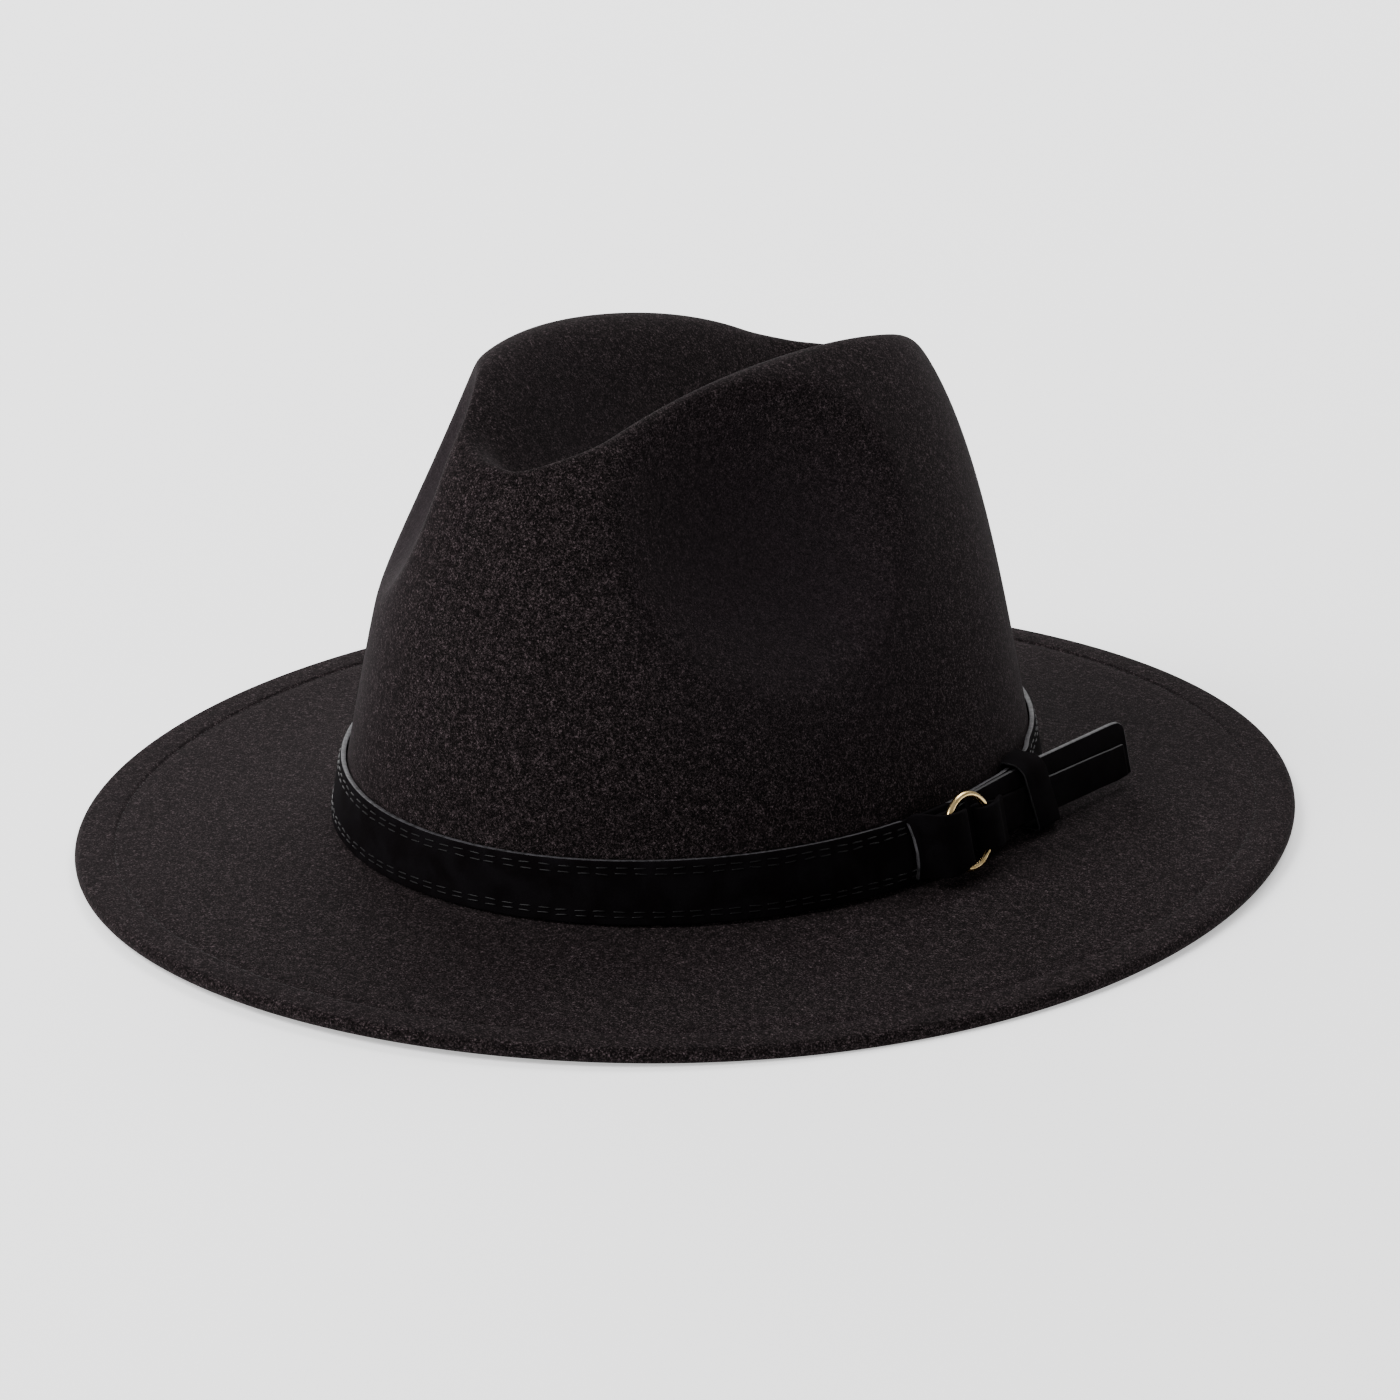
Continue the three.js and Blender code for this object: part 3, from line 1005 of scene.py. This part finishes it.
@dataclass
class HatBand:
    """Suede strap round the foot of the crown, with two double rows of stitches at heights over
    its lower edge. It stands off and is lifted where it covers the keeper's inner leaf, and its
    pale edge is left out under the fold, where it lies in shade."""

    crown: Crown
    finishes: Finishes
    gap: float = 0.3
    thickness: float = 1.6
    bottom: float = 9.2
    top: float = 25.5
    stand_off: float = 1.3
    lift: float = 1.6
    covers: tuple[float, float] = (math.radians(100), math.radians(109))
    run_out: float = math.radians(7)
    under_fold: tuple[float, float] = (math.radians(73.5), math.radians(83.5))
    rounding: float = 0.35
    swell: float = 0.12
    face_rows: int = 14
    columns: int = 420
    row_heights: tuple[float, ...] = (2.1, 3.4, 13.0, 14.5)
    stitch: Stitch = Stitch(3.2, 0.18)
    stitch_pitch: float = 4.8
    first_seed: int = 11
    seam_points: int = 900

    def cover(self, bearing: Array) -> Array:
        """Works out where the band passes over the keeper's inner leaf.

        Args:
            bearing: angle round the hat, counted from the front.

        Returns:
            1 over the leaf and 0 away from it.
        """
        start, stop = self.covers
        rising = smoothstep(bearing, start - self.run_out, start)
        return rising * (1 - smoothstep(bearing, stop, stop + self.run_out))

    def wall(self, bearing: Array, height: float, out: float) -> Array:
        """Places points beside the crown's wall.

        Args:
            bearing: angle round the hat, counted from the front.
            height: height above the floor where the keeper doesn't lift the band.
            out: distance from the wall where the keeper doesn't push the band out.

        Returns:
            The points in millimetres.
        """
        cover = self.cover(bearing)
        part = (height - self.bottom) / (self.top - self.bottom)
        level = height + self.lift * cover * (1 - part)
        return self.crown.offset(bearing, self.crown.climb_at(level), out + self.stand_off * cover)

    def section(self) -> list[tuple[float, float]]:
        """Draws the strap's section, with its face a little swollen.

        Returns:
            Distances out from the wall and heights.
        """
        inner, outer, r = self.gap, self.gap + self.thickness, self.rounding
        low, high = self.bottom + r, self.top - r
        places = quarter(outer - r, low, r, -90)
        for part in np.linspace(0.08, 0.92, self.face_rows):
            places.append((outer + self.swell * math.sin(math.pi * part), low + (high - low) * part))
        places += quarter(outer - r, high, r, 0)
        return places + quarter(inner + r, high, r, 90) + quarter(inner + r, low, r, 180)

    def build(self) -> None:
        """Builds the strap and its stitches, and dresses them."""
        bearing = around(self.columns)
        places = self.section()
        rings = np.array([self.wall(bearing, height, out) for out, height in places])
        sections = np.swapaxes(rings, 0, 1)
        edges = {j for j, (_, height) in enumerate(places) if height > self.top - self.rounding * 0.2}
        start, stop = self.under_fold

        def paint(i: int, j: int) -> int:
            """Returns 1 on the top cut edge, but not in the fold's shade, and 0 elsewhere."""
            on_edge = j in edges and (j + 1) % len(places) in edges
            return 1 if on_edge and not start < bearing[i] < stop else 0

        strap = lofted("hat_band_suede", sections, Ends.ENDLESS, (), paint)
        dress(strap, [self.finishes.suede, self.finishes.edge], Slot.SUEDE, "hat_band")
        self.sew()

    def sew(self) -> None:
        """Sews the double rows along both edges of the strap."""
        bearing = around(self.seam_points)
        for number, height in enumerate(self.row_heights):
            part = height / (self.top - self.bottom)
            level = self.bottom + height
            out = self.gap + self.thickness + self.swell * math.sin(math.pi * part)
            path = self.wall(bearing, level, out)
            normals = self.crown.normal(bearing, np.full_like(bearing, self.crown.climb_at(level)))
            seam = sewn(f"band_stitches_{number + 1}", path, normals, self.stitch_pitch, self.stitch,
                        self.first_seed + number)
            dress(seam, [self.finishes.thread], Slot.SUEDE)


@dataclass(frozen=True)
class Place:
    """One place on a strap's way: where it is in plan and the heights of its two edges."""

    y: float
    x: float
    bottom: float
    top: float


@dataclass
class Strap:
    """Suede strap that stands on edge and is led along a row of places in plan.

    Its top cut edge shows pale behind one y and dyed, in a narrower line, behind another. Its
    first end can show pale and its last one dyed. The face swells by start_belly at the first
    end, which dies out over belly_rows sections. TOP_EDGE and TOP_MIDDLE number the faces."""

    TOP_EDGE = range(8, 13)
    TOP_MIDDLE = range(9, 12)
    NEVER = 999.0

    name: str
    node: str
    thickness: float
    way: tuple[Place, ...]
    finishes: Finishes
    rounding: float = 0.3
    steps: int = 10
    pale_behind: float = NEVER
    dim_behind: float = NEVER
    pale_start: bool = False
    dim_stop: bool = False
    dim_stop_rows: int = 3
    start_belly: float = 0.0
    belly_rows: int = 50

    def line(self) -> tuple[Array, Array, Array, Array]:
        """Leads the strap's middle smoothly through its places.

        Returns:
            Points in plan, the directions across the strap, and its two edges' heights.
        """
        knots = np.array([(p.x, p.y) for p in self.way])
        gaps = np.sqrt(np.linalg.norm(np.diff(knots, axis=0), axis=1))
        at = np.concatenate([[0], np.cumsum(gaps)])
        fine = np.concatenate([np.linspace(a, b, self.steps, endpoint=False)
                               for a, b in zip(at[:-1], at[1:])] + [at[-1:]])
        plan = np.stack([smooth_through(at, knots[:, i], fine) for i in range(2)], -1)
        low = np.interp(fine, at, [p.bottom for p in self.way])
        high = np.interp(fine, at, [p.top for p in self.way])
        tangent = unit(np.gradient(plan, axis=0))
        side = np.stack([tangent[:, 1], -tangent[:, 0]], -1)
        return plan, side, low, high

    def section(self, bottom: float, top: float) -> Array:
        """Draws the strap's section.

        Args:
            bottom: height of its lower edge.
            top: height of its upper edge.

        Returns:
            Distances out from the middle and heights.
        """
        half, r = self.thickness / 2, self.rounding
        low, high = bottom + r, top - r
        places = quarter(half - r, low, r, -90)
        places += [(half, low + (high - low) * part) for part in (0.25, 0.5, 0.75)]
        places += quarter(half - r, high, r, 0) + quarter(r - half, high, r, 90)
        places += [(-half, low + (high - low) * part) for part in (0.75, 0.5, 0.25)]
        return np.array(places + quarter(r - half, low, r, 180))

    def build(self) -> None:
        """Builds and dresses the strap."""
        plan, side, low, high = self.line()
        rings = []
        for i, (place, across, bottom, top) in enumerate(zip(plan, side, low, high)):
            out, z = self.section(bottom, top).T
            middle = (bottom + top) / 2
            belly = self.start_belly * (1 - float(smoothstep(i, 0, self.belly_rows)))
            x = place[0] + across[0] * out - LEAN * (z - LEAN_HEIGHT)
            x += belly * (1 - ((z - middle) / (top - middle)) ** 2)
            rings.append(np.stack([x, place[1] + across[1] * out, z], -1))

        def paint(i: int, j: int) -> int:
            """Chooses a face's material.

            Args:
                i: the face's row, -1 and the number of rows for the caps.
                j: its place in the row.

            Returns:
                1 on cut edges that show pale, 2 on dyed ones and 0 elsewhere.
            """
            if self.pale_start and i < 0:
                return 1
            if self.dim_stop and i >= len(rings) - self.dim_stop_rows:
                return 2
            if not 0 <= i < len(rings):
                return 0
            if plan[i][1] > self.pale_behind:
                return 1 if j in self.TOP_EDGE else 0
            return 2 if plan[i][1] > self.dim_behind and j in self.TOP_MIDDLE else 0

        piece = lofted(self.name, np.array(rings), Ends.CAPPED, (), paint)
        dress(piece, [self.finishes.suede, self.finishes.edge, self.finishes.dim_edge], Slot.SUEDE,
              self.node)


def smooth_through(at: Array, values: Array, fine: Array) -> Array:
    """Interpolates smoothly through values, with slopes from their neighbours.

    Args:
        at: where the values stand.
        values: the values.
        fine: where the result is wanted.

    Returns:
        The interpolated values.
    """
    slopes = np.gradient(values, at)
    index = np.clip(np.searchsorted(at, fine, side="right") - 1, 0, len(at) - 2)
    span = at[index + 1] - at[index]
    t = (fine - at[index]) / span
    a, b = values[index], values[index + 1]
    p, q = slopes[index] * span, slopes[index + 1] * span
    return a + t * p + t * t * (3 * (b - a) - 2 * p - q) + t ** 3 * (2 * (a - b) + p + q)


@dataclass
class Keeper:
    """Suede loop round band, tail and tongue. Its face numbers in FRONT_EDGE are those of the
    cut edge towards the front."""

    FRONT_EDGE = (8, 9)

    crown: Crown
    finishes: Finishes
    thickness: float = 0.9
    front: float = 91.0
    bottom: float = 9.8
    top: float = 27.3
    corner: float = 1.2
    outer_corner: float = 3.0
    y: float = 23.2
    width: float = 10.5
    slant: float = -0.2
    gap: float = 0.3
    rounding: float = 0.3

    def build(self) -> None:
        """Builds and dresses the keeper."""
        r = self.rounding
        half, end = self.thickness / 2 - r, self.width / 2 - r
        quarters = ((1, 1, 0), (-1, 1, 90), (-1, -1, 180), (1, -1, 270))
        section = [place for sign_out, sign_end, start in quarters
                   for place in quarter(sign_out * half, sign_end * end, r, start, 45)]
        stations = [(sign_x, sign_z, start + step) for sign_x, sign_z, start in quarters
                    for step in range(0, 91, 15)]
        rings = [[self.point(*station, *place) for place in section] for station in stations]

        def paint(_: int, j: int) -> int:
            """Returns 1 on the cut edge towards the front and 0 elsewhere."""
            return 1 if j in self.FRONT_EDGE else 0

        loop = lofted("keeper_suede", np.array(rings), Ends.ENDLESS, (), paint)
        dress(loop, [self.finishes.suede, self.finishes.dim_edge], Slot.SUEDE, "keeper")

    def point(self, sign_x: int, sign_z: int, degrees: float, out: float, along: float) -> list[float]:
        """Returns one point of the loop.

        Args:
            sign_x: 1 at the outer leaf, -1 at the inner one.
            sign_z: 1 at the top, -1 at the foot.
            degrees: direction out of the loop, from 0 at +X to 90 at +Z.
            out: distance outwards from the middle of the suede.
            along: distance from the middle of the loop's width.

        Returns:
            The point in millimetres.
        """
        angle = math.radians(degrees)
        corner = self.outer_corner if sign_x > 0 and sign_z > 0 else self.corner
        radius = corner + out
        middle = (self.bottom + self.top) / 2
        z = middle + sign_z * ((self.top - self.bottom) / 2 - corner) + radius * math.sin(angle)
        y = self.y + self.slant * (z - middle) + along
        front = self.front - LEAN * (z - LEAN_HEIGHT)
        back = self.crown.side_at(y, z) + self.gap + self.thickness / 2
        centre = front - corner if sign_x > 0 else back + corner
        return [centre + radius * math.cos(angle), y, z]


@dataclass
class Ring:
    """Gold ring that stands against the band at the wearer's left."""

    finishes: Finishes
    x: float = 91.1
    y: float = -14.0
    z: float = 19.8
    mean_radius: float = 9.4
    wire_radius: float = 0.9
    turn: float = -0.065
    steps: int = 128
    wire_steps: int = 24

    def build(self) -> None:
        """Builds and dresses the ring."""
        lean = math.atan(LEAN)
        axis = np.array([math.cos(lean) * math.cos(self.turn), math.cos(lean) * math.sin(self.turn),
                         math.sin(lean)])
        level = unit(np.cross([0, 0, 1.0], axis))
        rise = np.cross(axis, level)
        rings = []
        for turn in around(self.steps):
            out = level * math.cos(turn) + rise * math.sin(turn)
            centre = np.array([self.x, self.y, self.z]) + out * self.mean_radius
            rings.append([centre + self.wire_radius * (out * math.cos(a) + axis * math.sin(a))
                          for a in around(self.wire_steps)])
        piece = lofted("gold_ring", np.array(rings), Ends.ENDLESS)
        dress(piece, [self.finishes.gold], Slot.GOLD, "ring")


# The fold runs from its raw end out over the ring's wire and back under itself.
FOLD_WAY = (
    Place(-30.5, 84.8, 11.0, 25.4), Place(-30.1, 84.95, 11.0, 26.6), Place(-29.3, 85.6, 11.05, 27.3),
    Place(-28.3, 86.5, 11.1, 27.5), Place(-26.9, 88.9, 11.2, 27.4), Place(-24.9, 91.9, 11.4, 27.2),
    Place(-22.2, 93.0, 11.8, 27.0), Place(-18.6, 93.3, 12.4, 26.7), Place(-16.1, 92.9, 12.9, 26.4),
    Place(-15.1, 91.4, 13.2, 26.2), Place(-16.1, 89.9, 13.3, 26.1), Place(-18.9, 89.3, 13.3, 26.0),
    Place(-22.6, 88.3, 13.4, 25.8),
)
# The tongue runs from its short outer end round the ring's wire and back under the keeper.
TONGUE_WAY = (
    Place(2.8, 91.8, 12.8, 24.4), Place(0.4, 92.4, 13.0, 24.5), Place(-2.2, 93.6, 13.3, 24.6),
    Place(-5.0, 94.1, 13.7, 24.8), Place(-7.8, 94.0, 14.0, 24.9), Place(-9.8, 93.4, 14.3, 25.0),
    Place(-10.5, 92.2, 14.4, 25.0), Place(-9.8, 91.0, 14.4, 24.9), Place(-7.4, 90.4, 14.4, 24.7),
    Place(-3.0, 90.0, 14.2, 24.0), Place(3.2, 89.6, 13.8, 22.5), Place(30.6, 89.6, 12.1, 20.7),
    Place(61.9, 89.8, 10.3, 18.7), Place(67.7, 89.8, 10.3, 18.4),
)
# The tail runs straight behind the tongue to its rounded free end.
TAIL_WAY = (
    Place(-7.8, 88.2, 11.8, 26.4), Place(10.4, 88.2, 12.0, 26.3), Place(28.8, 88.2, 11.8, 25.9),
    Place(53.6, 88.3, 10.3, 24.7), Place(66.5, 88.4, 9.7, 24.1), Place(68.9, 88.4, 9.6, 23.7),
    Place(70.5, 88.4, 9.65, 22.7), Place(71.3, 88.4, 9.8, 21.2),
)


@dataclass
class Buckle:
    """Everything at the wearer's left: fold, ring, tongue, tail and keeper."""

    crown: Crown
    finishes: Finishes

    def build(self) -> None:
        """Builds the straps, the keeper and the ring."""
        Strap("fold_suede", "band_fold", 1.2, FOLD_WAY, self.finishes, pale_start=True,
              start_belly=1.4).build()
        Strap("tongue_suede", "tongue", 1.0, TONGUE_WAY, self.finishes, dim_behind=26.0).build()
        Strap("tail_suede", "tail", 1.2, TAIL_WAY, self.finishes, pale_behind=28.0, dim_behind=-9.0,
              dim_stop=True).build()
        Keeper(self.crown, self.finishes).build()
        Ring(self.finishes).build()


# Stage

@dataclass(frozen=True)
class Lamp:
    """Soft light: degrees round from the camera to the right, degrees of height and watts."""

    name: str
    turn: float
    lift: float
    power: float


LAMPS = (
    Lamp("key", -60, 50, 45), Lamp("left", -60, 20, 9), Lamp("left_rear", -95, 20, 11),
    Lamp("back_left", -165, 20, 16), Lamp("back_left_high", -165, 50, 10),
    Lamp("back_right", 150, 50, 28),
)


def towards(turn: float, lift: float) -> Vector:
    """Returns the direction at degrees round from the hat's front and above the floor."""
    bearing, rise = math.radians(turn), math.radians(lift)
    return Vector((math.sin(bearing) * math.cos(rise), -math.cos(bearing) * math.cos(rise), math.sin(rise)))


@dataclass(frozen=True)
class Studio:
    """Camera at the photograph's angle, soft lights and a pale floor."""

    azimuth: float = 33.0
    elevation: float = 19.22
    roll: float = 0.31
    distance_mm: float = 1548.5
    target_mm: tuple[float, float, float] = (0.0, -2.0, 38.7)
    pixels_per_mm: float = 3.843
    centre_px: tuple[float, float] = (692.0, 681.1)
    frame_px: float = 1400.0
    sensor_mm: float = 36.0
    lamp_distance: float = 2.0
    lamp_size: float = 1.0
    clip_m: tuple[float, float] = (0.05, 50.0)
    floor_half_mm: float = 6000.0
    floor_glow: float = 0.55
    surround: float = 0.32

    def directions(self) -> tuple[Vector, Vector, Vector]:
        """Works out how the camera is turned, before its roll.

        Returns:
            Its right, up and backward directions.
        """
        turn = math.radians(self.azimuth)
        back = towards(self.azimuth, self.elevation)
        right = Vector((math.cos(turn), math.sin(turn), 0))
        return right, back.cross(right), back

    def camera(self) -> None:
        """Sets the camera where the photograph was taken from."""
        right, up, back = self.directions()
        data = bpy.data.cameras.new("camera")
        focal_px = self.pixels_per_mm * self.distance_mm
        data.sensor_width = self.sensor_mm
        data.lens = self.sensor_mm * focal_px / self.frame_px
        data.shift_x = (self.frame_px / 2 - self.centre_px[0]) / self.frame_px
        data.shift_y = -(self.frame_px / 2 - self.centre_px[1]) / self.frame_px
        data.clip_start, data.clip_end = self.clip_m
        camera = bpy.data.objects.new("camera", data)
        place = (Vector(self.target_mm) + back * self.distance_mm) * MM
        turn = Matrix((right, up, back)).transposed().to_4x4()
        roll = Matrix.Rotation(math.radians(self.roll), 4, "Z")
        camera.matrix_world = Matrix.Translation(place) @ turn @ roll
        bpy.context.scene.collection.objects.link(camera)
        bpy.context.scene.camera = camera

    def lamp(self, lamp: Lamp) -> None:
        """Adds a square light that faces the hat.

        Args:
            lamp: the light's name, place and power.
        """
        way = towards(self.azimuth + lamp.turn, lamp.lift)
        data = bpy.data.lights.new(lamp.name, "AREA")
        data.shape = "SQUARE"
        data.size = self.lamp_size
        data.energy = lamp.power
        light = bpy.data.objects.new(lamp.name, data)
        light.location = way * self.lamp_distance + Vector(self.target_mm) * MM
        light.rotation_euler = way.to_track_quat("Z", "Y").to_euler()
        bpy.context.scene.collection.objects.link(light)

    def floor(self) -> None:
        """Lays a pale plain floor."""
        half = self.floor_half_mm
        verts = np.array([(-half, -half, 0), (half, -half, 0), (half, half, 0), (-half, half, 0)])
        floor = meshed("floor", verts, [(0, 1, 2, 3)])
        graph = Graph("pale_floor")
        graph.set(Base_Color=linear("fbfbfc"), Roughness=0.9, Specular_IOR_Level=0.1)
        graph.set(Emission_Color=linear("ffffff"), Emission_Strength=self.floor_glow)
        floor.data.materials.append(graph.material)

    def world(self) -> None:
        """Sets an even pale surround."""
        world = bpy.data.worlds.new("studio")
        world.use_nodes = True
        light = world.node_tree.nodes["Background"]
        light.inputs["Color"].default_value = linear("ffffff")
        light.inputs["Strength"].default_value = self.surround
        bpy.context.scene.world = world

    def build(self) -> None:
        """Sets up the camera, the floor and the lights."""
        self.camera()
        self.floor()
        self.world()
        for lamp in LAMPS:
            self.lamp(lamp)


def main() -> None:
    """Builds the dressed hat around the frame."""
    logging.basicConfig(level=logging.INFO, format="%(name)s: %(message)s")
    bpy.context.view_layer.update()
    finishes = Finishes()
    crown = Crown()
    Studio().build()
    FeltBody(crown, Brim(crown), finishes).build()
    HatBand(crown, finishes).build()
    Buckle(crown, finishes).build()


if __name__ == "__main__":
    main()
